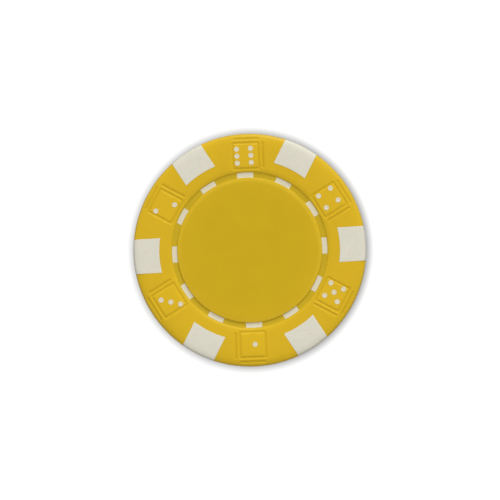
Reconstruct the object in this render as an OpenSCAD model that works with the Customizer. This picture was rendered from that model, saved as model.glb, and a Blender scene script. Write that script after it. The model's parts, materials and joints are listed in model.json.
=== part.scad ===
// Poker chip with dice and stripe marks.
// Two yellow half shells close over a steel slug and a white core ring. The ring carries the white
// marks: edge inserts through the full height, and bars and die pips on each face.
// The chip lies flat, with its middle over the origin and its lower rim face at z = 0.

/* [Chip] */
// Diameter over the rim
chip_d = 40; // [36:0.5:50]
// Height from one rim face to the other
chip_h = 3.3; // [2.8:0.1:5]

/* [Face] */
// Width of the raised band between the rim and the ring groove
band_w = 6.57; // [6:0.01:8]
// Width of the ring groove
groove_w = 0.93; // [0.6:0.01:1.6]
// Depth of the ring groove below the band
groove_depth = 0.45; // [0.25:0.05:0.7]
// Depth of the label disc below the band
label_depth = 0.15; // [0.05:0.05:0.3]

/* [Soft edges] */
// Radius of the soft shoulders where the band and the label disc fall away to their edges
shoulder_r = 4; // [3:0.5:8]
// Width of the band's shoulder at the rim
rim_shoulder = 1.5; // [0.8:0.1:1.8]
// Width of the band's shoulder at the ring groove
groove_shoulder = 1.1; // [0.6:0.1:1.4]
// Width of the label disc's shoulder
label_shoulder = 1; // [0.6:0.1:1.4]
// Radius of the rounded rim edges
rim_round = 0.55; // [0.1:0.05:0.6]
// Radius of the rounded edges of the ring groove
groove_round = 0.2; // [0.05:0.05:0.3]

/* [Inside] */
// Plastic between the label disc and the slug
slug_cover = 0.35; // [0.2:0.05:0.8]
// Plastic between the slug's rim and the ring bars
slug_margin = 0.31; // [0.2:0.01:2]
// Plastic outside the core ring, at the rim
edge_wall = 1.4; // [0.8:0.1:2.2]
// Clearance round each piece that is set into another
fit_gap = 0.02; // [0:0.01:0.05]

/* [White marks] */
// Width of an edge insert
insert_w = 5.93; // [4:0.01:7]
// Reach of an edge insert in from the rim
insert_reach = 4.5; // [3:0.01:5.5]
// Length of a ring bar along the groove
bar_l = 2.8; // [1.5:0.1:4]
// Thickness of a ring bar above the core ring
bar_t = 0.45; // [0.3:0.05:0.6]
// Groove floor left bare outside a ring bar
bar_ledge = 0.08; // [0.03:0.01:0.2]
// Reach of a ring bar over the label disc's rounded edge
bar_lap = 0.06; // [0:0.01:0.2]
// Diameter of a die pip
pip_d = 0.9; // [0.6:0.02:1.1]
// Distance from one row of pips to the next
pip_pitch = 1.2; // [1.15:0.05:1.5]
// Shift of the pips from the middle of their frame towards the chip's middle
pip_shift = 0.08; // [0:0.01:0.3]

/* [Die frames] */
// Plain band between the rim and a die's outer side line
frame_rim_margin = 0.575; // [0.3:0.005:0.8]
// Plain band between the ring groove and a die's square
frame_groove_margin = 0.475; // [0.3:0.005:0.8]
// Distance from the square to each of its two side lines
frame_step = 0.73; // [0.5:0.01:1]
// Width of an engraved line
line_w = 0.42; // [0.2:0.02:0.5]
// Depth of an engraved line
line_depth = 0.13; // [0.05:0.01:0.25]
// Clockwise turn of the frames against the white marks, in degrees
frame_turn = 1.28; // [0:0.01:3]

/* [Hidden] */
$fn = 128;

// Overrun of every cut past the face that it opens
cut_over = 0.5;

// Radii from the chip's axis
chip_r = chip_d / 2;
band_r = chip_r - band_w;
label_r = band_r - groove_w;
slug_r = label_r - bar_lap - slug_margin;
core_r = chip_r - edge_wall;
insert_r = chip_r - insert_reach;

// A die's square between the middles of its lines, and the radii to its middle and to its pips' middle
frame_side = band_w - frame_rim_margin - frame_groove_margin - frame_step - line_w;
frame_r = band_r + frame_groove_margin + (frame_side + line_w) / 2;
die_r = frame_r - pip_shift;

// Heights above the seam between the two halves
face_z = chip_h / 2;
label_z = face_z - label_depth;
groove_z = face_z - groove_depth;
slug_z = label_z - slug_cover;
core_z = groove_z - bar_t;

// Places of a die's pips, outward and counter-clockwise, as shares of the pip pitch
middle_shares = [[0, 0]];
rising_shares = [[-1, -1], [1, 1]];
falling_shares = [[-1, 1], [1, -1]];
side_shares = [[0, -1], [0, 1]];
corner_shares = concat(rising_shares, falling_shares);

// Dice in their order round the front, counter-clockwise from the X axis
die_shares = [
    ["four", corner_shares],
    ["six", concat(corner_shares, side_shares)],
    ["two", rising_shares],
    ["three", concat(falling_shares, middle_shares)],
    ["one", middle_shares],
    ["five", concat(corner_shares, middle_shares)]
];
die_count = len(die_shares);
bar_count = 2 * die_count;

yellow = [0.84, 0.69, 0.15];
white = [0.86, 0.83, 0.75];
steel = [0.62, 0.63, 0.65];

// Lifts what is drawn about the seam so that the lower rim face is at z = 0
module front_side() {
    translate([0, 0, face_z])
        children();
}

// Turns what is drawn for the front over onto the back
module back_side() {
    front_side()
        rotate([180, 0, 0])
            children();
}

// Copies round the chip, the first on the X axis
module round_chip(count) {
    for (place = [1:count])
        rotate(360 / count * place)
            children();
}

// One die's place on the band, with X pointing outward
module at_die(place, radius) {
    rotate(360 / die_count * (place + 1 / 2))
        translate([radius, 0, 0])
            children();
}

// Section of a block that ends at the axes' origin, its top falling away to the edge there
module soft_block(width, height, shoulder, edge_round) {
    edge_drop = shoulder_r - sqrt(pow(shoulder_r - edge_round, 2) - pow(shoulder - edge_round, 2));
    shoulder_run = (shoulder - edge_round) * shoulder_r / (shoulder_r - edge_round);
    translate([-width, -height])
        square([width - shoulder, height]);
    translate([-width, -height])
        square([width, height - edge_drop]);
    intersection() {
        translate([-shoulder, -shoulder_r])
            circle(shoulder_r);
        translate([-shoulder, -height])
            square([shoulder_run, height]);
    }
    translate([-edge_round, -edge_drop])
        circle(edge_round);
}

// Section of the whole chip beside its axis, with both rim edges soft
module rim_section() {
    for (side = [0, 1])
        mirror([0, side])
            translate([chip_r, face_z])
                soft_block(chip_r, face_z, rim_shoulder, rim_round);
}

// Section of the band above the seam, soft at the rim and at the ring groove
module band_section() {
    intersection() {
        translate([chip_r, face_z])
            soft_block(band_w, face_z, rim_shoulder, rim_round);
        translate([band_r, face_z])
            mirror([1, 0])
                soft_block(band_w, face_z, groove_shoulder, groove_round);
    }
}

// Section of a half above the seam: the band, the ring groove's floor and the label disc
module face_section() {
    band_section();
    square([band_r + groove_shoulder, groove_z]);
    translate([label_r, label_z])
        soft_block(label_r, label_z, label_shoulder, groove_round);
}

// Section of a half shell, with the pockets for slug and ring
module shell_section() {
    difference() {
        face_section();
        translate([0, -cut_over])
            square([slug_r + fit_gap, slug_z + cut_over]);
        translate([0, -cut_over])
            square([core_r + fit_gap, core_z + cut_over]);
    }
}

// Outline of the edge insert on the X axis, with room round it
module insert_outline(room) {
    difference() {
        translate([0, -insert_w / 2 - room])
            square([chip_d, insert_w + 2 * room]);
        circle(insert_r - room);
    }
}

// Outline of the ring bar on the X axis, with room round it
module bar_outline(room) {
    intersection() {
        difference() {
            circle(band_r - bar_ledge + room);
            circle(label_r - bar_lap - room);
        }
        translate([0, -bar_l / 2 - room])
            square([chip_d, bar_l + 2 * room]);
    }
}

// Round pins at a die's pips, from one height to another
module pip_pins(place, room, low, high) {
    at_die(place, die_r)
        for (share = die_shares[place][1])
            translate([share[0] * pip_pitch, share[1] * pip_pitch, low])
                cylinder(h = high - low, d = pip_d + 2 * room);
}

// One engraved line with round ends, along Y
module engraved_line() {
    square([line_w, frame_side], center = true);
    for (side = [-1, 1])
        translate([0, side * frame_side / 2])
            circle(d = line_w);
}

// A die's square, and the two lines beside it that stand for the cube's other faces
module frame_outline() {
    for (turn = [0:90:270])
        rotate(turn)
            translate([frame_side / 2, 0])
                engraved_line();
    for (turn = [0, -90])
        rotate(turn)
            translate([frame_side / 2 + frame_step, 0])
                engraved_line();
}

// The engraved frames of all dice, cut down from the face
module frame_cuts() {
    rotate(-frame_turn)
        for (place = [0:die_count - 1])
            at_die(place, frame_r)
                translate([0, 0, face_z - line_depth])
                    linear_extrude(line_depth + cut_over)
                        frame_outline();
}

// Yellow half with the ways through it for inserts, bars and pips
module half_shell() {
    color(yellow)
        difference() {
            rotate_extrude()
                shell_section();
            round_chip(die_count)
                translate([0, 0, -cut_over])
                    linear_extrude(chip_h)
                        insert_outline(fit_gap);
            round_chip(bar_count)
                translate([0, 0, core_z - cut_over])
                    linear_extrude(chip_h)
                        bar_outline(fit_gap);
            for (place = [0:die_count - 1])
                pip_pins(place, fit_gap, core_z - cut_over, face_z + cut_over);
            frame_cuts();
        }
}

module front_shell() {
    front_side()
        half_shell();
}

module back_shell() {
    back_side()
        half_shell();
}

// Steel disc held between the two halves
module steel_slug() {
    color(steel)
        front_side()
            cylinder(h = 2 * slug_z, r = slug_r, center = true);
}

// White ring round the slug, notched for the edge inserts
module core_ring() {
    color(white)
        front_side()
            difference() {
                cylinder(h = 2 * core_z, r = core_r, center = true);
                cylinder(h = chip_h, r = slug_r + fit_gap, center = true);
                round_chip(die_count)
                    translate([0, 0, -chip_h / 2])
                        linear_extrude(chip_h)
                            insert_outline(fit_gap);
            }
}

// White block that runs over the rim from face to face
module edge_insert(place) {
    color(white)
        front_side()
            rotate(360 / die_count * place)
                intersection() {
                    translate([0, 0, -chip_h])
                        linear_extrude(2 * chip_h)
                            insert_outline(0);
                    rotate_extrude()
                        rim_section();
                }
}

// White bars that stand on the core ring and end level with the face round them
module ring_bars() {
    color(white)
        intersection() {
            rotate_extrude()
                face_section();
            round_chip(bar_count)
                translate([0, 0, core_z])
                    linear_extrude(chip_h)
                        bar_outline(0);
        }
}

module front_ring_bars() {
    front_side()
        ring_bars();
}

module back_ring_bars() {
    back_side()
        ring_bars();
}

// White pins that stand on the core ring and end level with the face
module die_pips(place) {
    color(white)
        pip_pins(place, 0, core_z, face_z);
}

module front_pips(place) {
    front_side()
        die_pips(place);
}

module back_pips(place) {
    back_side()
        die_pips(place);
}

steel_slug();
core_ring();
front_shell();
back_shell();
front_ring_bars();
back_ring_bars();
for (place = [1:die_count])
    edge_insert(place);
for (place = [0:die_count - 1])
    front_pips(place);
for (place = [0:die_count - 1])
    back_pips(place);
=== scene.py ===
import json
import math

import bmesh
import bpy
import numpy as np
from mathutils import Matrix, Vector


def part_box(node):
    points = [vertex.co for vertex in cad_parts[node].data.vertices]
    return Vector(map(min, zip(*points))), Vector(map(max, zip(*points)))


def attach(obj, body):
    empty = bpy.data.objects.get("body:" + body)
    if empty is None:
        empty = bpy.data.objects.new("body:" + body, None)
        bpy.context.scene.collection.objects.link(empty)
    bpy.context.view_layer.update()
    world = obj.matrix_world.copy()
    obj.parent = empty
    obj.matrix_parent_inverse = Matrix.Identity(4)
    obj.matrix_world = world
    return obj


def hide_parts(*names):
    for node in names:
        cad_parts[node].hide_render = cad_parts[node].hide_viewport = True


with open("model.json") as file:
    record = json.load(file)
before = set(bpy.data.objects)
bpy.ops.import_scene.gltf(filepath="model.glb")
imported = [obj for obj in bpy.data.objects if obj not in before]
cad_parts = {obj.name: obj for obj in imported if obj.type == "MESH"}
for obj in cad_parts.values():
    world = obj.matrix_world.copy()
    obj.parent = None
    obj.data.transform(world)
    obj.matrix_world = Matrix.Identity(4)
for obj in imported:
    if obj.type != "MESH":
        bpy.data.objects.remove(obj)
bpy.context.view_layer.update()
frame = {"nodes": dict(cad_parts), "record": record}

# A yellow moulded poker chip with white edge inserts, ring bars and die pips, seen from straight above.
# Lengths are in metres, and heights on a face are measured from the seam between the two halves.
MM = 0.001

# Face and edges of a half shell
BAND_W = 6.57 * MM
CROWN_R = 17.4 * MM
CROWN_INWARD = 52.0 * MM
CROWN_OUTWARD = 14.0 * MM
GROOVE_W = 0.93 * MM
GROOVE_DEPTH = 0.45 * MM
GROOVE_FLAT = 0.5 * MM
GROOVE_RISE = 0.085 * MM
SHOULDER_R = 4.0 * MM
RIM_SHOULDER = 1.2 * MM
GROOVE_SHOULDER = 0.9 * MM
LABEL_SHOULDER = 1.0 * MM
RIM_ROUND = 0.55 * MM
GROOVE_ROUND = 0.2 * MM
SEAM_EDGE = 0.05 * MM
FIT_GAP = 0.005 * MM
CUT_OVER = 0.5 * MM

# White pieces
INSERT_W = 5.93 * MM
INSERT_REACH = 4.5 * MM
INSERT_CROWN_SHARE = 0.4
BAR_L = 2.8 * MM
BAR_LEDGE = 0.08 * MM
BAR_LAP = 0.06 * MM
PIP_R = 0.45 * MM
PIP_PITCH = 1.2 * MM
PIP_SHIFT = 0.155 * MM
SINK_R = 0.26 * MM
SINK_DEPTH = 0.03 * MM
SINK_MIDDLE = 0.1
WHITE_ROUND = 0.03 * MM
SIDE_ROUND = 0.025 * MM

# Engraved die frames: a square and a line beside two of its sides, as soft grooves that end round
FRAME_SHIFT = 0.15 * MM
FRAME_OFFSET = (-0.055 * MM, -0.03 * MM, 0.0)
FRAME_SIDE = 4.37 * MM
FRAME_STEP = 0.73 * MM
FRAME_TURN = math.radians(1.28)
LINE_W = 0.62 * MM
LINE_DEPTH = 0.08 * MM
LINE_LIP = 0.03 * MM
LINE_LIP_POWER = 8
LINE_CORNER_TIP = 0.16 * MM
LINE_NEAR_TIP = 0.05 * MM
LINE_FAR_TIP = 0.22 * MM
LINE_STEP = 0.06 * MM
LINE_END_SHARE = 0.1

# Places of a die's pips, outward and counter-clockwise, as shares of the pip pitch
MIDDLE_SHARES = [(0, 0)]
RISING_SHARES = [(-1, -1), (1, 1)]
FALLING_SHARES = [(-1, 1), (1, -1)]
SIDE_SHARES = [(0, -1), (0, 1)]
CORNER_SHARES = RISING_SHARES + FALLING_SHARES

# Dice in their order round the front, counter-clockwise from the X axis
DIE_SHARES = {
    "four": CORNER_SHARES,
    "six": CORNER_SHARES + SIDE_SHARES,
    "two": RISING_SHARES,
    "three": FALLING_SHARES + MIDDLE_SHARES,
    "one": MIDDLE_SHARES,
    "five": CORNER_SHARES + MIDDLE_SHARES,
}
DIE_COUNT = len(DIE_SHARES)
BAR_COUNT = 2 * DIE_COUNT

# Steps round the chip and a pip, along the parts of a section, and across a white block and a line
CHIP_STEPS = 360
PIP_STEPS = 32
SHOULDER_STEPS = 8
ROUND_STEPS = 6
SLICE_STEPS = 24
GROOVE_STEPS = 12
CROWN_STEPS = 12
LINE_STEPS = 12

# Faces that meet at more than this angle keep a sharp edge
SHARP_ANGLE = math.radians(40)

# Colours of the finishes, linear
BAND_YELLOW = (0.655, 0.416, 0.0065, 1.0)
DISC_YELLOW = (0.567, 0.3735, 0.0025, 1.0)
GROOVE_YELLOW = (0.544, 0.371, 0.007, 1.0)
# Warm dark yellow painted into the engraved lines: painted shade with the hue of light bounced in the
# hollows, and dirt
LINE_YELLOW = (0.524, 0.333, 0.0013, 1.0)
WORN_YELLOW = (0.75, 0.52, 0.03, 1.0)
INSERT_WHITE = (0.692, 0.662, 0.549, 1.0)
BAR_WHITE = (0.69, 0.63, 0.455, 1.0)
PIP_WHITE = (0.7, 0.63, 0.455, 1.0)
DIRT = (0.55, 0.5, 0.4, 1.0)
# Dark brown painted on the rim's edges: painted shade where the edge turns from the light, and dirt
RIM_SHADE_AND_DIRT = (0.3, 0.25, 0.12, 1.0)
STEEL = (0.56, 0.57, 0.58, 1.0)
STEEL_SPOT = (0.36, 0.35, 0.34, 1.0)

# Noise of the finishes: its scale over a millimetre and its detail, and the values between which patches show
YELLOW_CLOUD = (0.3, 3.0)
YELLOW_FLOW = (1.0, 2.0)
YELLOW_GRAIN = (7.0, 2.0)
WEAR_PATCH = (1.1, 3.0)
WHITE_CLOUD = (0.5, 3.0)
WHITE_MOTTLE = (2.2, 3.0)
WHITE_GRAIN = (8.0, 2.0)
DIRT_PATCH = (0.9, 4.0)
DIRT_SHOWS = (0.55, 0.75)
STEEL_RING = (1.0, 3.0)
STEEL_PATCH = (1.5, 4.0)
STEEL_SPOT_SHOWS = (0.5, 0.75)
HAIRLINE_FIELD = (1.0, 1.0)
HAIRLINE_PATCH = (0.16, 2.0)
HAIRLINE_EASE = 0.1

# How noise is drawn out: round the chip and outward where the plastic flowed, over steel, and on hairlines
FLOW_ROUND = 9.0
FLOW_OUTWARD = 0.35
RING_OUTWARD = 12.0
HAIRLINE_STRETCH = (0.12, 3.0, 1.0)
HAIRLINE_THIN = 0.012

# Hairlines on the plastics: each direction, and the value of the patches from which it shows
YELLOW_HAIRLINES = [(math.radians(-52), 0.55), (math.radians(24), 0.6)]
WHITE_HAIRLINES = [(math.radians(61), 0.5), (math.radians(-17), 0.55)]

# Where a finish changes, from and to, in millimetres: outward from a ring, below the face or from the seam
BAND_TONE_R = 14.1
BAND_TONE_POWER = 6
GROOVE_TINT_INNER = (-0.19, 0.01)
GROOVE_TINT_OUTER = (-0.1, 0.0)
# Painted shade and dirt in the engraved lines, by radius and by depth below the face
LINE_SHADE_AND_DIRT_INNER = (0.1, 0.3)
LINE_SHADE_AND_DIRT_OUTER = (-0.55, -0.45)
LINE_SHADE_AND_DIRT_DEPTH = (0.018, 0.055)
# Painted shade and dirt on the rim, by radius and by height
RIM_SHADE_AND_DIRT_OUTER = (-0.25, -0.02)
RIM_SHADE_AND_DIRT_HEIGHT = (0.4, 0.9)
# Painted light over the dice fades out over this range outward from their squares
DICE_PAINTED_LIGHT_OUTER = (0.0, 0.8)

# Rings of wear: how far outward from the ring's edge, and how far to both sides, in millimetres
LABEL_WEAR = (-0.4, 0.5)
BAND_WEAR = (0.15, 0.2)
RIM_WEAR = (-0.35, 0.25)

# Shares of one colour in another, and the least of the rim's painted shade and dirt and of wear
WEAR_SHARE = 0.22
WEAR_LEAST = 0.5
# The line share is how strongly painted shade and dirt darken the engraved lines
LINE_SHADE_AND_DIRT_SHARE = 0.45
# The rim shares are for the painted shade and dirt on the rim's edges
RIM_SHADE_AND_DIRT_SHARE = 0.32
RIM_SHADE_AND_DIRT_LEAST = 0.5
DIRT_SHARE = 0.2
STEEL_SPOT_SHARE = 0.4

# Plain finishes, and what each pattern adds to their tone, roughness and relief
PLASTIC_GLOSS = 0.2
PLASTIC_RELIEF = 0.004 * MM
STEEL_RELIEF = 0.002 * MM
YELLOW_ROUGH = 0.55
WHITE_ROUGH = 0.48
STEEL_ROUGH = 0.3
STEEL_PLAIN = 0.9
# The die tone paints the dice lighter: painted light
YELLOW_TONES = {"cloud": 0.09, "flow": 0.05, "grain": 0.05, "scuffs": 0.05, "die": 0.035}
YELLOW_ROUGHS = {"band": -0.1, "grain": 0.1, "scuffs": 0.08, "wear": -0.08}
YELLOW_RELIEFS = {"grain": 0.6, "cloud": 0.5, "scuffs": -0.5}
WHITE_TONES = {"cloud": 0.06, "mottle": 0.08, "scuffs": -0.06}
WHITE_ROUGHS = {"mottle": 0.15, "scuffs": 0.1}
WHITE_RELIEFS = {"grain": 0.5, "mottle": 0.6, "scuffs": -0.5}
STEEL_TONES = {"rings": 0.2}
STEEL_ROUGHS = {"rings": 0.12, "spots": 0.15}

# Floor, light and camera
FLOOR_SIDE = 4.0
FLOOR_GREY = (0.06, 0.06, 0.06, 1.0)
FLOOR_GLOW = 0.98
SHADE_REACH = 1.5 * MM
SHADE_POWER = 1.2
SHADE_SAMPLES = 16
SHADE_LEAN = (-0.13, -0.03, 1.0)
SKY_LOW = 0.456
SKY_HIGH = 0.89
SKY_SIDE = 0.25
HORIZON_EASE = 0.02
GROUND_EDGE = 0.2
GROUND_DEEP = 3.7
GROUND_POWER = 8
LAMP_SHARE = 0.255
LAMP_TURN = math.radians(71.5)
LAMP_HEIGHT = math.radians(26)
LAMP_SPREAD = math.radians(30)
CHIP_TURN = math.radians(3.45)
CHIP_PIXELS = 116.3
CAMERA_LEAN = math.radians(2.2)
CAMERA_SIDE = math.radians(-15)
CAMERA_AIM = (0.02 * MM, 0.03 * MM, 0.0)
IMAGE_PIXELS = 500
CAMERA_FAR = 0.5
SENSOR_W = 36.0

# Sizes that the frame gives
mounts = {mount["name"]: mount for mount in frame["record"]["mounts"]}
chip_r = mounts["rim"]["dims"]["r_mm"] * MM
seam = mounts["rim"]["pos_m"][2]
face_z = mounts["upper_rim_face"]["pos_m"][2] - seam
label_z = mounts["front_label_seat"]["pos_m"][2] - seam
groove_z = face_z - GROOVE_DEPTH
core_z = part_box("core_ring")[1].z - seam
core_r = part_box("core_ring")[1].y
slug_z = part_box("steel_slug")[1].z - seam
slug_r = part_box("steel_slug")[1].x

# Radii from the chip's axis
band_r = chip_r - BAND_W
label_r = band_r - GROOVE_W
insert_r = chip_r - INSERT_REACH
frame_r = chip_r - BAND_W / 2 - FRAME_STEP / 2 - FRAME_SHIFT
die_r = chip_r - BAND_W / 2 - FRAME_STEP / 2 - PIP_SHIFT
rim_flat_r = chip_r - RIM_SHOULDER
groove_flat_r = band_r + GROOVE_SHOULDER
bar_inner_r = label_r - BAR_LAP
bar_outer_r = band_r - BAR_LEDGE


class Value:
    """A node's output. Arithmetic on it adds Math nodes to its tree."""

    def __init__(self, nodes, node, output):
        self.nodes = nodes
        self.node = node
        self.socket = node.outputs[output]

    def also(self, output):
        """Another output of the same node."""
        return Value(self.nodes, self.node, output)

    def __add__(self, other):
        return self.nodes.math("ADD", self, other)

    def __radd__(self, other):
        return self.nodes.math("ADD", other, self)

    def __sub__(self, other):
        return self.nodes.math("SUBTRACT", self, other)

    def __rsub__(self, other):
        return self.nodes.math("SUBTRACT", other, self)

    def __mul__(self, other):
        return self.nodes.math("MULTIPLY", self, other)

    def __rmul__(self, other):
        return self.nodes.math("MULTIPLY", other, self)

    def __truediv__(self, other):
        return self.nodes.math("DIVIDE", self, other)

    def __rtruediv__(self, other):
        return self.nodes.math("DIVIDE", other, self)

    def __pow__(self, other):
        return self.nodes.math("POWER", self, other)

    def __abs__(self):
        return self.nodes.math("ABSOLUTE", self)

    def least(self, other):
        return self.nodes.math("MINIMUM", self, other)

    def most(self, other):
        return self.nodes.math("MAXIMUM", self, other)


class Nodes:
    """Adds nodes to one tree."""

    def __init__(self, tree):
        self.tree = tree

    def add(self, kind, settings=None, sockets=None, output=0):
        """A node of this kind, with its settings made first, then its sockets filled or linked."""
        node = self.tree.nodes.new(kind)
        for name, value in (settings or {}).items():
            setattr(node, name, value)
        for key, value in (sockets or {}).items():
            for term in value if isinstance(value, list) else [value]:
                if isinstance(term, Value):
                    self.tree.links.new(term.socket, node.inputs[key])
                else:
                    node.inputs[key].default_value = term
        return Value(self, node, output) if node.outputs else None

    def math(self, operation, *terms):
        """A Math node on these values."""
        return self.add("ShaderNodeMath", {"operation": operation}, dict(enumerate(terms)))

    def vector(self, x, y, z=0.0):
        return self.add("ShaderNodeCombineXYZ", None, {"X": x, "Y": y, "Z": z})

    def parts(self, vector):
        """The X, Y and Z values of a vector."""
        apart = self.add("ShaderNodeSeparateXYZ", None, {"Vector": vector})
        return [apart.also(axis) for axis in "XYZ"]

    def scaled(self, vector, factor):
        """A vector or a colour times a value."""
        sockets = {"Vector": vector, "Scale": factor}
        return self.add("ShaderNodeVectorMath", {"operation": "SCALE"}, sockets)

    def mixed(self, factor, first, second):
        """A colour between two others."""
        sockets = {"Factor": factor, "A": first, "B": second}
        return self.add("ShaderNodeMix", {"data_type": "RGBA"}, sockets, "Result")

    def noise(self, vector, scale, detail):
        """Noise about a half."""
        return self.add("ShaderNodeTexNoise", None, {"Vector": vector, "Scale": scale, "Detail": detail})

    def swing(self, vector, scale, detail):
        """Noise about zero."""
        return self.noise(vector, scale, detail) - 0.5

    def ease(self, value, low, high):
        """0 below low and 1 above high, with a smooth step between."""
        sockets = {"Value": value, "From Min": low, "From Max": high}
        return self.add("ShaderNodeMapRange", {"interpolation_type": "SMOOTHSTEP"}, sockets)


def new_piece(name, mesh):
    """An object at the origin, in the scene."""
    piece = bpy.data.objects.new(name, mesh)
    bpy.context.scene.collection.objects.link(piece)
    return piece


def discard(*pieces):
    """Takes helper objects out of the scene again."""
    for piece in pieces:
        bpy.data.objects.remove(piece)


def steps(start, end, count):
    """Evenly spaced values from start to end, both included."""
    return [start + (end - start) * step / count for step in range(count + 1)]


def arc(centre, radius, start, end, count=ROUND_STEPS):
    """Points of an arc in a section, between two angles in degrees."""
    angles = [math.radians(angle) for angle in steps(start, end, count)]
    return [(centre[0] + radius * math.cos(a), centre[1] + radius * math.sin(a)) for a in angles]


def soft_edge(edge, side, top, shoulder, edge_round, low=0.0, inset=0.0):
    """Section points from a flat top over its soft shoulder and rounded edge, to the wall or to a low height.

    side is 1 where the wall looks outward and -1 where it looks inward."""
    sine = (shoulder - edge_round) / (SHOULDER_R - edge_round)
    turn = math.degrees(math.asin(sine))
    middle = top - SHOULDER_R + (SHOULDER_R - edge_round) * math.sqrt(1 - sine**2)
    last = math.degrees(math.asin(max(0.0, (low - middle) / edge_round)))
    top_arc = arc((-shoulder, top - SHOULDER_R), SHOULDER_R - inset, 90, 90 - turn, SHOULDER_STEPS)
    edge_arc = arc((-edge_round, middle), edge_round - inset, 90 - turn, last)
    return [(edge + side * run, height) for run, height in top_arc + edge_arc[1:]]


def loft(name, rings):
    """Closed piece through rings of points that run alike, with a face over the first and the last."""
    skin = bmesh.new()
    loops = [[skin.verts.new(point) for point in points] for points in rings]
    for near, far in zip(loops, loops[1:]):
        for place in range(len(near)):
            skin.faces.new((near[place - 1], near[place], far[place], far[place - 1]))
    skin.faces.new(loops[0])
    skin.faces.new(loops[-1])
    bmesh.ops.recalc_face_normals(skin, faces=skin.faces)
    mesh = bpy.data.meshes.new(name)
    skin.to_mesh(mesh)
    skin.free()
    return new_piece(name, mesh)


def revolved(name, section, count):
    """Closed piece from a section beside the chip's axis."""
    angles = [2 * math.pi * step / count for step in range(count)]
    rings = [[(r * math.cos(a), r * math.sin(a), seam + z) for a in angles] for r, z in section]
    return loft(name, rings)


def sliced(name, section, width, edge_round=0.0):
    """Closed piece across the X axis, cut out of a round one by two flat sides with rounded edges.

    section gives the round one's outline beside the axis, drawn in by an inset."""
    edge = []
    if edge_round:
        edge = arc((width / 2 - edge_round, edge_round), edge_round, 0, -90)[:-1]
    middle = steps(edge_round - width / 2, width / 2 - edge_round, SLICE_STEPS)
    across = [(-side, inset) for side, inset in edge] + [(side, 0.0) for side in middle] + edge[::-1]
    rings = []
    for side, inset in across:
        rings.append([(math.sqrt(r**2 - side**2), side, seam + z) for r, z in section(inset)])
    return loft(name, rings)


def new_tree(name, inputs):
    """A Geometry Nodes tree with named inputs. Returns its adder and those inputs by name."""
    tree = bpy.data.node_groups.new(name, "GeometryNodeTree")
    for label, kind in inputs.items():
        tree.interface.new_socket(label, in_out="INPUT", socket_type="NodeSocket" + kind)
    tree.interface.new_socket("Result", in_out="OUTPUT", socket_type="NodeSocketGeometry")
    nodes = Nodes(tree)
    source = nodes.add("NodeGroupInput")
    return nodes, {label: source.also(label) for label in inputs}


def end_tree(nodes, geometry, finish):
    """Closes a tree with real copies in their material."""
    copies = nodes.add("GeometryNodeRealizeInstances", None, {"Geometry": geometry})
    painted = nodes.add("GeometryNodeSetMaterial", None, {"Geometry": copies, "Material": finish})
    nodes.add("NodeGroupOutput", None, {"Result": painted})
    return nodes.tree


def copies_round(nodes, piece, count, first):
    """Copies of a piece about the chip's axis, evenly spaced from a first turn."""
    index = nodes.add("GeometryNodeInputIndex")
    turn = {"Axis": (0, 0, 1), "Angle": first + index * (2 * math.pi) / count}
    sockets = {
        "Points": nodes.add("GeometryNodePoints", None, {"Count": count}),
        "Instance": piece,
        "Rotation": nodes.add("FunctionNodeAxisAngleToRotation", None, turn),
    }
    return nodes.add("GeometryNodeInstanceOnPoints", None, sockets)


def copies_round_tree():
    """Copies of a piece round the chip, the first where it was made."""
    inputs = {"Piece": "Geometry", "Count": "Int", "Finish": "Material"}
    nodes, given = new_tree("copies_round", inputs)
    copies = copies_round(nodes, given["Piece"], given["Count"], 0.0)
    return end_tree(nodes, copies, given["Finish"])


def copies_on_spots_tree():
    """Copies of a piece on the points of another object."""
    inputs = {"Piece": "Geometry", "Spots": "Object", "Finish": "Material"}
    nodes, given = new_tree("copies_on_spots", inputs)
    spots = nodes.add("GeometryNodeObjectInfo", None, {"Object": given["Spots"]}, "Geometry")
    sockets = {"Points": spots, "Instance": given["Piece"]}
    copies = nodes.add("GeometryNodeInstanceOnPoints", None, sockets)
    return end_tree(nodes, copies, given["Finish"])


def band_drop(radius, inner_flat, outer_flat, shoulder, crown_r, crown_inward, crown_outward):
    """How far the band's face lies below its highest ring, over its crown and its two soft shoulders."""
    run = (radius - outer_flat).most(inner_flat - radius).most(0.0)
    drop = shoulder - (shoulder * shoulder - run * run) ** 0.5
    inward = (crown_r - radius).most(0.0)
    outward = (radius - crown_r).most(0.0)
    return drop + (inward * inward / crown_inward + outward * outward / crown_outward) / 2


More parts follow.
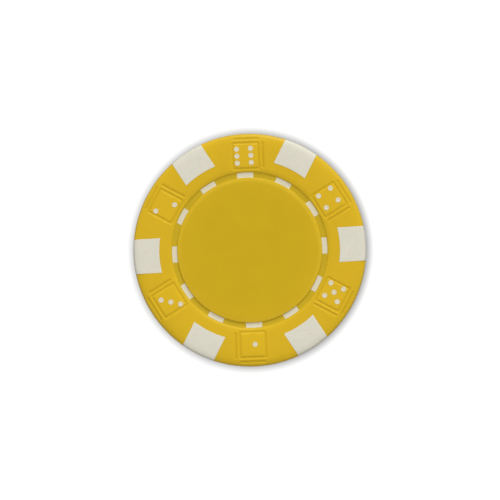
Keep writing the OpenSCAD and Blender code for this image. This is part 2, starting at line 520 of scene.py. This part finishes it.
def engraving_tree():
    """Cutter for half of the engraved lines: two sides of each die's square and the line beside one of them.

    Its lines run either round the chip or outward, so that none of them cross in one cutter."""
    sizes = ["Side", "Step", "Line Width", "Line Depth", "Lip", "Corner Tip", "Near Tip", "Far Tip"]
    sizes += ["Radius", "Turn", "Face"]
    face_sizes = ["Inner Flat", "Outer Flat", "Shoulder", "Crown", "Crown Inward", "Crown Outward"]
    inputs = {"Piece": "Geometry", "Finish": "Material", "Count": "Int", "Outward": "Bool"}
    inputs.update({size: "Float" for size in sizes + face_sizes})
    inputs["Offset"] = "Vector"
    nodes, given = new_tree("engraving", inputs)
    half = given["Side"] / 2
    reach = half + given["Step"]

    # Paths in the face, X outward from the die's middle, and swapped over for the lines that run outward
    corner = half + given["Corner Tip"]
    near = half + given["Near Tip"]
    far = half + given["Far Tip"]
    lines = []
    for place, low, high in ((0 - half, corner, corner), (half, corner, corner), (reach, far, near)):
        ends = {"Start": nodes.vector(place, 0 - low), "End": nodes.vector(place, high)}
        lines.append(nodes.add("GeometryNodeCurvePrimitiveLine", None, ends))
    lines = nodes.add("GeometryNodeJoinGeometry", None, {"Geometry": lines})
    x, y, _ = nodes.parts(nodes.add("GeometryNodeInputPosition"))
    swapped = {"Geometry": lines, "Selection": given["Outward"], "Position": nodes.vector(0 - y, 0 - x)}
    lines = nodes.add("GeometryNodeSetPosition", None, swapped)
    spaced = {"Curve": lines, "Length": LINE_STEP}
    lines = nodes.add("GeometryNodeResampleCurve", {"mode": "LENGTH"}, spaced)
    lines = nodes.add("GeometryNodeSetCurveNormal", {"mode": "Z_UP"}, {"Curve": lines})

    # Section of a groove: a soft hollow, closed above the face by its two lifted ends
    ends = {"Start": (0.5, 0, 0), "End": (-0.5, 0, 0)}
    across = nodes.add("GeometryNodeCurvePrimitiveLine", None, ends)
    across = nodes.add("GeometryNodeResampleCurve", None, {"Curve": across, "Count": LINE_STEPS + 1})
    share = nodes.parts(nodes.add("GeometryNodeInputPosition"))[0]
    hollow = nodes.math("COSINE", share * math.pi) ** 2 * given["Line Depth"]
    lift = (share * share * 4) ** LINE_LIP_POWER * given["Lip"]
    section = {"Geometry": across, "Position": nodes.vector(share * given["Line Width"], hollow - lift)}
    across = nodes.add("GeometryNodeSetPosition", None, section)
    across = nodes.add("GeometryNodeSetSplineCyclic", None, {"Geometry": across, "Cyclic": True})

    # Grooves, with the lines' ends rounded off
    along = nodes.add("GeometryNodeSplineParameter")
    length = nodes.add("GeometryNodeSplineLength")
    end_share = along.least(1 - along) * length / (given["Line Width"] / 2)
    end_round = ((1 - (1 - end_share.least(1.0)) ** 2) ** 0.5).most(LINE_END_SHARE)
    sweep = {"Curve": lines, "Profile Curve": across, "Scale": end_round, "Fill Caps": True}
    grooves = nodes.add("GeometryNodeCurveToMesh", None, sweep)

    # One set for each die, laid on the face where it falls away to the rim and to the groove
    place = {"Geometry": grooves, "Translation": nodes.vector(given["Radius"], 0.0)}
    grooves = nodes.add("GeometryNodeTransform", None, place)
    first = math.pi / given["Count"] - given["Turn"]
    grooves = copies_round(nodes, grooves, given["Count"], first)
    grooves = nodes.add("GeometryNodeRealizeInstances", None, {"Geometry": grooves})
    aside = {"Geometry": grooves, "Translation": given["Offset"]}
    grooves = nodes.add("GeometryNodeTransform", None, aside)
    x, y, _ = nodes.parts(nodes.add("GeometryNodeInputPosition"))
    drop = band_drop((x * x + y * y) ** 0.5, *[given[size] for size in face_sizes])
    laid = {"Geometry": grooves, "Offset": nodes.vector(0.0, 0.0, given["Face"] - drop)}
    grooves = nodes.add("GeometryNodeSetPosition", None, laid)
    return end_tree(nodes, grooves, given["Finish"])


def cut_tree():
    """A piece less the cutters that other objects hold."""
    cutters = ["Notches", "Windows", "Holes", "Round Lines", "Outward Lines"]
    inputs = {"Piece": "Geometry", "Finish": "Material"}
    inputs.update({cutter: "Object" for cutter in cutters})
    nodes, given = new_tree("cut", inputs)
    shapes = [nodes.add("GeometryNodeObjectInfo", None, {"Object": given[c]}, "Geometry") for c in cutters]
    settings = {"operation": "DIFFERENCE", "solver": "MANIFOLD"}
    left = nodes.add("GeometryNodeMeshBoolean", settings, {"Mesh 1": given["Piece"], "Mesh 2": shapes})
    return end_tree(nodes, left, given["Finish"])


def plain_mesh(piece):
    """Keeps what a piece's modifiers make as its own mesh."""
    now = bpy.context.evaluated_depsgraph_get()
    mesh = bpy.data.meshes.new_from_object(piece.evaluated_get(now))
    piece.modifiers.clear()
    piece.data = mesh


def run_tree(piece, tree, inputs):
    """Runs a tree on a piece, with these values for its named inputs."""
    modifier = piece.modifiers.new(tree.name, "NODES")
    modifier.node_group = tree
    for item in tree.interface.items_tree:
        if item.name in inputs:
            modifier[item.identifier] = inputs[item.name]
    plain_mesh(piece)
    return piece


def smoothed(piece):
    """Smooth faces with sharp edges where two of them meet at a corner."""
    piece.data.shade_smooth()
    piece.data.set_sharp_from_angle(angle=SHARP_ANGLE)
    even = piece.modifiers.new("even_normals", "WEIGHTED_NORMAL")
    even.keep_sharp = True
    plain_mesh(piece)
    return piece


def turned_over(piece, name):
    """A copy of a front piece for the back, turned over about the X axis at the seam."""
    mesh = piece.data.copy()
    mesh.transform(Matrix.Translation((0, 0, 2 * seam)) @ Matrix.Rotation(math.pi, 4, "X"))
    return new_piece(name, mesh)


def declare(piece, nodes):
    """Puts a piece under the root body and hides the CAD nodes that it stands for."""
    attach(piece, "root")
    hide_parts(*nodes)


def crown(radius):
    """How far the band lies below its highest ring."""
    away = radius - CROWN_R
    return away**2 / 2 / (CROWN_OUTWARD if away > 0 else CROWN_INWARD)


def lowered(points, share=1.0):
    """Section points of a flat band, lowered to a share of its crown."""
    return [(radius, height - share * crown(radius)) for radius, height in points]


def groove_floor(radius):
    """Height of the ring groove's floor, flat by the label disc and hollow by the band."""
    hollow = max(0.0, radius - label_r - GROOVE_FLAT) / (GROOVE_W - GROOVE_FLAT)
    return groove_z + GROOVE_RISE * hollow**2


def band_top(inner, inset=0.0):
    """Section points over the band from a radius to the rim's wall, before they are lowered to the crown."""
    flat = [(radius, face_z - inset) for radius in steps(inner, rim_flat_r, CROWN_STEPS)[:-1]]
    return flat + soft_edge(chip_r, 1, face_z, RIM_SHOULDER, RIM_ROUND, 0.0, inset)


def face_section():
    """Outline of the face beside the axis, from the label disc to the rim's wall."""
    label = soft_edge(label_r, 1, label_z, LABEL_SHOULDER, GROOVE_ROUND, groove_z)
    groove = [(radius, groove_floor(radius)) for radius in steps(label_r, band_r, GROOVE_STEPS)]
    wall_z = groove_floor(band_r) + crown(band_r)
    band_edge = soft_edge(band_r, -1, face_z, GROOVE_SHOULDER, GROOVE_ROUND, wall_z)[::-1]
    return label + groove + lowered(band_edge + band_top(groove_flat_r)[1:])


def face_height(radius):
    """Height of the face at a radius."""
    radii, heights = zip(*face_section())
    return float(np.interp(radius, radii, heights))


def shell_section():
    """Outline of a half shell beside the axis: over the face, down the rim, back through the pockets."""
    seam_edge = [(chip_r, SEAM_EDGE), (chip_r - SEAM_EDGE, 0.0)]
    core_pocket = [(core_r + FIT_GAP, 0.0), (core_r + FIT_GAP, core_z)]
    slug_pocket = [(slug_r + FIT_GAP, core_z), (slug_r + FIT_GAP, slug_z)]
    return face_section() + seam_edge + core_pocket + slug_pocket


def insert_section(inset):
    """Outline of an edge insert beside the axis, over the rim from face to face."""
    inner_arc = arc((insert_r + WHITE_ROUND, face_z - WHITE_ROUND), WHITE_ROUND - inset, 180, 90)
    upper = lowered(inner_arc + band_top(insert_r + WHITE_ROUND, inset)[1:], INSERT_CROWN_SHARE)
    return upper + [(radius, -height) for radius, height in upper[::-1]]


def bar_section(inset):
    """Outline of a ring bar beside the axis, with rounded upper edges and a top that follows the face."""
    low = [(bar_inner_r + inset, core_z), (bar_outer_r - inset, core_z)]
    outer_arc = arc((bar_outer_r - WHITE_ROUND, -WHITE_ROUND), WHITE_ROUND - inset, 0, 90)
    inner_arc = arc((bar_inner_r + WHITE_ROUND, -WHITE_ROUND), WHITE_ROUND - inset, 90, 180)
    across = steps(bar_outer_r - WHITE_ROUND, bar_inner_r + WHITE_ROUND, 2 * GROOVE_STEPS)[1:-1]
    flat = outer_arc + [(radius, -inset) for radius in across] + inner_arc
    return low + [(radius, face_height(radius) + height) for radius, height in flat]


def pip_section():
    """Outline of a pip beside its own axis, with a rounded edge and a shallow sink in its top."""
    edge = arc((PIP_R - WHITE_ROUND, face_z - WHITE_ROUND), WHITE_ROUND, 0, 90)
    shares = steps(1, SINK_MIDDLE, ROUND_STEPS)
    sink = [(SINK_R * s, face_z - SINK_DEPTH * math.cos(math.pi / 2 * s) ** 2) for s in shares]
    return [(PIP_R, core_z + crown(die_r - PIP_PITCH))] + edge + sink


def pip_spots():
    """Object with a point at each pip's place."""
    points = []
    for place, shares in enumerate(DIE_SHARES.values()):
        turn = Matrix.Rotation(2 * math.pi / DIE_COUNT * (place + 0.5), 3, "Z")
        for outward, aside in shares:
            spot = Vector((die_r + outward * PIP_PITCH, aside * PIP_PITCH, 0.0))
            spot.z = -crown(spot.length)
            points.append(turn @ spot)
    mesh = bpy.data.meshes.new("pip_spots")
    mesh.from_pydata(points, [], [])
    return new_piece("pip_spots", mesh)


def way_section(inner, outer, low):
    """Section of a way through a half shell, up past its face. It has no rounds, so no inset changes it."""
    top = face_z + CUT_OVER
    outline = [(inner, low), (outer, low), (outer, top), (inner, top)]
    return lambda inset: outline


def engraved_lines(name, outward):
    """The grooves of all engraved lines that run outward, or of those that run round the chip."""
    sizes = {
        "Count": DIE_COUNT,
        "Outward": outward,
        "Side": FRAME_SIDE,
        "Step": FRAME_STEP,
        "Line Width": LINE_W,
        "Line Depth": LINE_DEPTH,
        "Lip": LINE_LIP,
        "Corner Tip": LINE_CORNER_TIP,
        "Near Tip": LINE_NEAR_TIP,
        "Far Tip": LINE_FAR_TIP,
        "Radius": frame_r,
        "Turn": FRAME_TURN,
        "Offset": FRAME_OFFSET,
        "Inner Flat": groove_flat_r,
        "Outer Flat": rim_flat_r,
        "Shoulder": SHOULDER_R,
        "Crown": CROWN_R,
        "Crown Inward": CROWN_INWARD,
        "Crown Outward": CROWN_OUTWARD,
        "Face": seam + face_z,
    }
    blank = new_piece(name, bpy.data.meshes.new(name))
    return run_tree(blank, lines_tree, sizes)


def front_face_shell(spots, finish):
    """Yellow front half with the ways through it for inserts, bars and pips."""
    shell = revolved("front_face_shell", shell_section(), CHIP_STEPS)
    notch = way_section(insert_r - FIT_GAP, chip_r + CUT_OVER, -CUT_OVER)
    notches = sliced("notches", notch, INSERT_W + 2 * FIT_GAP)
    window = way_section(bar_inner_r - FIT_GAP, bar_outer_r + FIT_GAP, core_z - CUT_OVER)
    windows = sliced("windows", window, BAR_L + 2 * FIT_GAP)
    hole_r = PIP_R + FIT_GAP
    holes = revolved("holes", [(hole_r, core_z - CUT_OVER), (hole_r, face_z + CUT_OVER)], PIP_STEPS)
    cutters = {
        "Notches": run_tree(notches, round_tree, {"Count": DIE_COUNT}),
        "Windows": run_tree(windows, round_tree, {"Count": BAR_COUNT}),
        "Holes": run_tree(holes, spots_tree, {"Spots": spots}),
        "Round Lines": engraved_lines("round_lines", False),
        "Outward Lines": engraved_lines("outward_lines", True),
    }
    run_tree(shell, cut_tree(), {"Finish": finish, **cutters})
    discard(*cutters.values())
    return smoothed(shell)


def edge_inserts(finish):
    """White blocks that run over the rim from face to face."""
    insert = sliced("edge_inserts", insert_section, INSERT_W, SIDE_ROUND)
    return smoothed(run_tree(insert, round_tree, {"Count": DIE_COUNT, "Finish": finish}))


def front_bars(finish):
    """White bars that end level with the ring groove's floor."""
    bar = sliced("front_bars", bar_section, BAR_L, SIDE_ROUND)
    return smoothed(run_tree(bar, round_tree, {"Count": BAR_COUNT, "Finish": finish}))


def front_pips(spots, finish):
    """White pips that end level with the face."""
    pip = revolved("front_pips", pip_section(), PIP_STEPS)
    return smoothed(run_tree(pip, spots_tree, {"Spots": spots, "Finish": finish}))


def emptied(owner):
    """Adder for the emptied tree of a material or of the world."""
    owner.use_nodes = True
    owner.node_tree.nodes.clear()
    return Nodes(owner.node_tree)


def new_finish(name):
    """A material, its adder, and the point on the piece in millimetres."""
    finish = bpy.data.materials.new(name)
    nodes = emptied(finish)
    place = nodes.add("ShaderNodeTexCoord", output="Object")
    return finish, nodes, nodes.scaled(place, 1 / MM)


def end_finish(nodes, sockets):
    """Closes a piece's material."""
    surface = nodes.add("ShaderNodeBsdfPrincipled", None, sockets)
    nodes.add("ShaderNodeOutputMaterial", None, {"Surface": surface})


def hairlines(nodes, point, turn, shows):
    """Thin scratches along one direction: 1 on a line and 0 between, only in patches of the surface."""
    sockets = {"Vector": point, "Rotation": (0, 0, turn), "Scale": HAIRLINE_STRETCH}
    stretched = nodes.add("ShaderNodeMapping", {"vector_type": "POINT"}, sockets)
    off_line = abs(nodes.swing(stretched, *HAIRLINE_FIELD))
    patches = nodes.ease(nodes.noise(point, *HAIRLINE_PATCH), shows, shows + HAIRLINE_EASE)
    return (1 - nodes.ease(off_line, 0.0, HAIRLINE_THIN)) * patches


def crossed_hairlines(nodes, point, directions):
    """Hairlines along two directions."""
    first, second = [hairlines(nodes, point, *direction) for direction in directions]
    return first.most(second)


def bump(nodes, height, depth):
    """A surface normal from heights between 0 and 1."""
    return nodes.add("ShaderNodeBump", None, {"Strength": 1.0, "Distance": depth, "Height": height})


def summed(plain, shares, patterns):
    """A plain value plus its share of each pattern."""
    total = plain
    for name, share in shares.items():
        total = total + patterns[name] * share
    return total


def chip_place(nodes, point):
    """X, Y, the radius from the chip's axis, and the rise over the seam."""
    x, y, z = nodes.parts(point)
    return x, y, (x * x + y * y) ** 0.5, z - seam / MM


def from_ring(ring, places):
    """Radii in millimetres at some places outward from a ring."""
    return [ring / MM + place for place in places]


def rim_shade_and_dirt(nodes, radius, height):
    """Painted shade and dirt on the rim's two rounded edges, darkening the chip's outline, and less of it on
    the wall between them.
    """
    on_edge = RIM_SHADE_AND_DIRT_LEAST + (1 - RIM_SHADE_AND_DIRT_LEAST) * nodes.ease(height, *RIM_SHADE_AND_DIRT_HEIGHT)
    return nodes.ease(radius, *from_ring(chip_r, RIM_SHADE_AND_DIRT_OUTER)) * on_edge


def line_shade_and_dirt(nodes, radius, height):
    """Painted shade and dirt in the engraved lines, where the band lies below its face: darker and warmer
    towards their bottoms.
    """
    face_sizes = (groove_flat_r, rim_flat_r, SHOULDER_R, CROWN_R, CROWN_INWARD, CROWN_OUTWARD)
    drop = band_drop(radius, *[size / MM for size in face_sizes])
    depth = face_z / MM - drop - height
    on_band = nodes.ease(radius, *from_ring(band_r, LINE_SHADE_AND_DIRT_INNER))
    on_band = on_band * (1 - nodes.ease(radius, *from_ring(chip_r, LINE_SHADE_AND_DIRT_OUTER)))
    return nodes.ease(depth, *LINE_SHADE_AND_DIRT_DEPTH) * on_band


def dice_painted_light(nodes, x, y, radius, rise):
    """1 on the dice and 0 away from them, on either face: it paints the dice lighter, as painted light."""
    spacing = 2 * math.pi / DIE_COUNT
    share = (nodes.math("ARCTAN2", y * nodes.math("SIGN", rise), x) + FRAME_TURN) / spacing
    turn = (nodes.math("FRACT", share) - 0.5) * spacing
    die_x = radius * nodes.math("COSINE", turn) - frame_r / MM
    die_y = radius * nodes.math("SINE", turn)
    return 1 - nodes.ease(abs(die_x).most(abs(die_y)), *from_ring(FRAME_SIDE / 2, DICE_PAINTED_LIGHT_OUTER))


def edge_wear(nodes, point, radius):
    """Patchy wear on the edges of the label disc, the band and the rim."""
    rings = []
    for ring, (outward, reach) in ((label_r, LABEL_WEAR), (band_r, BAND_WEAR), (chip_r, RIM_WEAR)):
        rings.append(1 - nodes.ease(abs(radius - (ring / MM + outward)), 0.0, reach))
    return (rings[0] + rings[1] + rings[2]) * (WEAR_LEAST + nodes.noise(point, *WEAR_PATCH))


def yellow_plastic():
    """Satin yellow moulding: a warm band, a duller label disc, flow marks, scuffs and a fine grain, with
    painted shade and dirt in the engraved lines and on the rim's edges, and painted light over the dice.
    """
    finish, nodes, point = new_finish("yellow_plastic")
    x, y, radius, rise = chip_place(nodes, point)
    height = abs(rise)
    band = (radius / BAND_TONE_R).least(1.0) ** BAND_TONE_POWER
    groove = nodes.ease(radius, *from_ring(label_r, GROOVE_TINT_INNER))
    groove = groove * (1 - nodes.ease(radius, *from_ring(band_r, GROOVE_TINT_OUTER)))
    flow_point = nodes.vector(x / radius * FLOW_ROUND, y / radius * FLOW_ROUND, radius * FLOW_OUTWARD)
    patterns = {
        "band": band,
        "cloud": nodes.swing(point, *YELLOW_CLOUD),
        "flow": nodes.swing(flow_point, *YELLOW_FLOW) * band,
        "grain": nodes.swing(point, *YELLOW_GRAIN),
        "scuffs": crossed_hairlines(nodes, point, YELLOW_HAIRLINES),
        "wear": edge_wear(nodes, point, radius),
        # Painted light: the dice are made lighter
        "die": dice_painted_light(nodes, x, y, radius, rise),
    }

    colour = nodes.mixed(band, DISC_YELLOW, BAND_YELLOW)
    colour = nodes.mixed(groove, colour, GROOVE_YELLOW)
    colour = nodes.mixed(patterns["wear"] * WEAR_SHARE, colour, WORN_YELLOW)
    # Painted shade and dirt darken the engraved lines
    colour = nodes.mixed(line_shade_and_dirt(nodes, radius, height) * LINE_SHADE_AND_DIRT_SHARE, colour, LINE_YELLOW)
    # Painted shade and dirt darken the rim's edges
    colour = nodes.mixed(rim_shade_and_dirt(nodes, radius, height) * RIM_SHADE_AND_DIRT_SHARE, colour, RIM_SHADE_AND_DIRT)
    sockets = {
        "Base Color": nodes.scaled(colour, summed(1.0, YELLOW_TONES, patterns)),
        "Roughness": summed(YELLOW_ROUGH, YELLOW_ROUGHS, patterns),
        "Specular IOR Level": PLASTIC_GLOSS,
        "Normal": bump(nodes, summed(0.0, YELLOW_RELIEFS, patterns), PLASTIC_RELIEF),
    }
    end_finish(nodes, sockets)
    return finish


def white_plastic(name, white):
    """Satin white moulding with clouds, hairlines, a little dirt, and painted shade with dirt on the rim's
    edges.
    """
    finish, nodes, point = new_finish(name)
    _, _, radius, rise = chip_place(nodes, point)
    patterns = {
        "cloud": nodes.swing(point, *WHITE_CLOUD),
        "mottle": nodes.swing(point, *WHITE_MOTTLE),
        "grain": nodes.swing(point, *WHITE_GRAIN),
        "scuffs": crossed_hairlines(nodes, point, WHITE_HAIRLINES),
    }
    dirt = nodes.ease(nodes.noise(point, *DIRT_PATCH), *DIRT_SHOWS)
    colour = nodes.mixed(dirt * DIRT_SHARE, white, DIRT)
    # Painted shade and dirt darken the rim's edges
    colour = nodes.mixed(rim_shade_and_dirt(nodes, radius, abs(rise)) * RIM_SHADE_AND_DIRT_SHARE, colour, RIM_SHADE_AND_DIRT)
    sockets = {
        "Base Color": nodes.scaled(colour, summed(1.0, WHITE_TONES, patterns)),
        "Roughness": summed(WHITE_ROUGH, WHITE_ROUGHS, patterns),
        "Specular IOR Level": PLASTIC_GLOSS,
        "Normal": bump(nodes, summed(0.0, WHITE_RELIEFS, patterns), PLASTIC_RELIEF),
    }
    end_finish(nodes, sockets)
    return finish


def stamped_steel():
    """Plain stamped steel with turned rings and darker spots."""
    finish, nodes, point = new_finish("stamped_steel")
    _, _, radius, _ = chip_place(nodes, point)
    rings = nodes.noise(nodes.vector(radius * RING_OUTWARD, 0.0), *STEEL_RING)
    spots = nodes.ease(nodes.noise(point, *STEEL_PATCH), *STEEL_SPOT_SHOWS)
    patterns = {"rings": rings, "spots": spots}
    colour = nodes.mixed(spots * STEEL_SPOT_SHARE, STEEL, STEEL_SPOT)
    sockets = {
        "Base Color": nodes.scaled(colour, summed(STEEL_PLAIN, STEEL_TONES, patterns)),
        "Metallic": 1.0,
        "Roughness": summed(STEEL_ROUGH, STEEL_ROUGHS, patterns),
        "Normal": bump(nodes, rings, STEEL_RELIEF),
    }
    end_finish(nodes, sockets)
    return finish


def seen_directly(nodes):
    """1 for rays that show a thing in the picture, in a mirror or through glass, 0 for those that light."""
    path = nodes.add("ShaderNodeLightPath")
    shown = path.also("Is Camera Ray").most(path.also("Is Glossy Ray"))
    return shown.most(path.also("Is Transmission Ray"))


def floor_finish():
    """White glow, dimmed by ambient occlusion into a painted shadow where the chip stands over it, over a
    little lit grey that takes the real shadow. From below it isn't seen.
    """
    finish = bpy.data.materials.new("white_floor")
    nodes = emptied(finish)
    sockets = {"Distance": SHADE_REACH, "Normal": nodes.vector(*SHADE_LEAN)}
    openness = nodes.add("ShaderNodeAmbientOcclusion", {"samples": SHADE_SAMPLES}, sockets, "AO")
    # Painted shadow: the floor's glow is dimmed where the chip occludes it
    glow = nodes.scaled((1, 1, 1), seen_directly(nodes) * openness ** SHADE_POWER * FLOOR_GLOW)
    lit = nodes.add("ShaderNodeBsdfDiffuse", None, {"Color": FLOOR_GREY})
    glow = nodes.add("ShaderNodeEmission", None, {"Color": glow})
    above = nodes.add("ShaderNodeAddShader", None, {0: lit, 1: glow})
    below = nodes.add("ShaderNodeBsdfTransparent")
    back = nodes.add("ShaderNodeNewGeometry", output="Backfacing")
    surface = nodes.add("ShaderNodeMixShader", None, {0: back, 1: above, 2: below})
    nodes.add("ShaderNodeOutputMaterial", None, {"Surface": surface})
    return finish


def white_floor():
    """Wide level floor under the chip."""
    half = FLOOR_SIDE / 2
    corners = [(-half, -half, 0), (half, -half, 0), (half, half, 0), (-half, half, 0)]
    mesh = bpy.data.meshes.new("floor")
    mesh.from_pydata(corners, [], [(0, 1, 2, 3)])
    mesh.materials.append(floor_finish())
    floor = new_piece("floor", mesh)
    floor.visible_diffuse = False
    floor.visible_shadow = False


def studio_sky():
    """Soft surroundings, brighter overhead, towards the lamp and straight below, seen as plain white."""
    world = bpy.data.worlds.new("studio")
    nodes = emptied(world)
    x, y, height = nodes.parts(nodes.add("ShaderNodeTexCoord", output="Generated"))
    side = 1 + (x * math.cos(LAMP_TURN) + y * math.sin(LAMP_TURN)) * SKY_SIDE
    up = height.most(0.0)
    down = (0 - height).most(0.0)
    ground = GROUND_EDGE + (GROUND_DEEP - GROUND_EDGE) * down**GROUND_POWER
    above = nodes.ease(height, -HORIZON_EASE, HORIZON_EASE)
    sky = ground + ((SKY_LOW + (SKY_HIGH - SKY_LOW) * up) * side - ground) * above
    light = nodes.scaled((1, 1, 1), sky + (1 - sky) * seen_directly(nodes))
    surroundings = nodes.add("ShaderNodeBackground", None, {"Color": light})
    nodes.add("ShaderNodeOutputWorld", None, {"Surface": surroundings})
    bpy.context.scene.world = world


def key_lamp():
    """One low broad lamp."""
    lamp = bpy.data.lights.new("key_lamp", "SUN")
    lamp.energy = LAMP_SHARE * math.pi / math.sin(LAMP_HEIGHT)
    lamp.angle = LAMP_SPREAD
    level = math.cos(LAMP_HEIGHT)
    towards = Vector((level * math.cos(LAMP_TURN), level * math.sin(LAMP_TURN), math.sin(LAMP_HEIGHT)))
    key = new_piece("key_lamp", lamp)
    key.rotation_euler = towards.to_track_quat("Z", "Y").to_euler()


def overhead_camera():
    """Camera almost straight above the chip, turned and leant as the photograph's was."""
    lens = bpy.data.cameras.new("camera")
    lens.sensor_width = SENSOR_W
    lens.lens = SENSOR_W * CHIP_PIXELS / IMAGE_PIXELS * CAMERA_FAR / chip_r
    camera = new_piece("camera", lens)
    lean_axis = Vector((-math.sin(CAMERA_SIDE), math.cos(CAMERA_SIDE), 0))
    turn = Matrix.Rotation(-CHIP_TURN, 4, "Z") @ Matrix.Rotation(CAMERA_LEAN, 4, lean_axis)
    aim = Matrix.Translation((0, 0, seam)) @ turn @ Matrix.Translation(CAMERA_AIM)
    camera.matrix_world = aim @ Matrix.Translation((0, 0, CAMERA_FAR))
    bpy.context.scene.camera = camera


def paint(node, finish):
    """Gives a CAD node that stays another finish."""
    for place in frame["nodes"][node].material_slots:
        place.material = finish


yellow = yellow_plastic()
insert_white = white_plastic("insert_white", INSERT_WHITE)
bar_white = white_plastic("bar_white", BAR_WHITE)
pip_white = white_plastic("pip_white", PIP_WHITE)
round_tree = copies_round_tree()
spots_tree = copies_on_spots_tree()
lines_tree = engraving_tree()
spots = pip_spots()

front_pieces = {
    "shell": front_face_shell(spots, yellow),
    "bars": front_bars(bar_white),
    "pips": front_pips(spots, pip_white),
}
discard(spots)
back_pieces = {}
for kind, piece in front_pieces.items():
    back_pieces[kind] = turned_over(piece, piece.name.replace("front", "back"))
for side, pieces in (("front", front_pieces), ("back", back_pieces)):
    declare(pieces["shell"], [side + "_shell"])
    declare(pieces["bars"], [side + "_ring_bars"])
    declare(pieces["pips"], [f"{side}_pips_{die}" for die in DIE_SHARES])
insert_nodes = [f"edge_insert_{place + 1}" for place in range(DIE_COUNT)]
declare(edge_inserts(insert_white), insert_nodes)
paint("core_ring", insert_white)
paint("steel_slug", stamped_steel())

white_floor()
studio_sky()
key_lamp()
overhead_camera()
bpy.context.scene.view_settings.view_transform = "Standard"
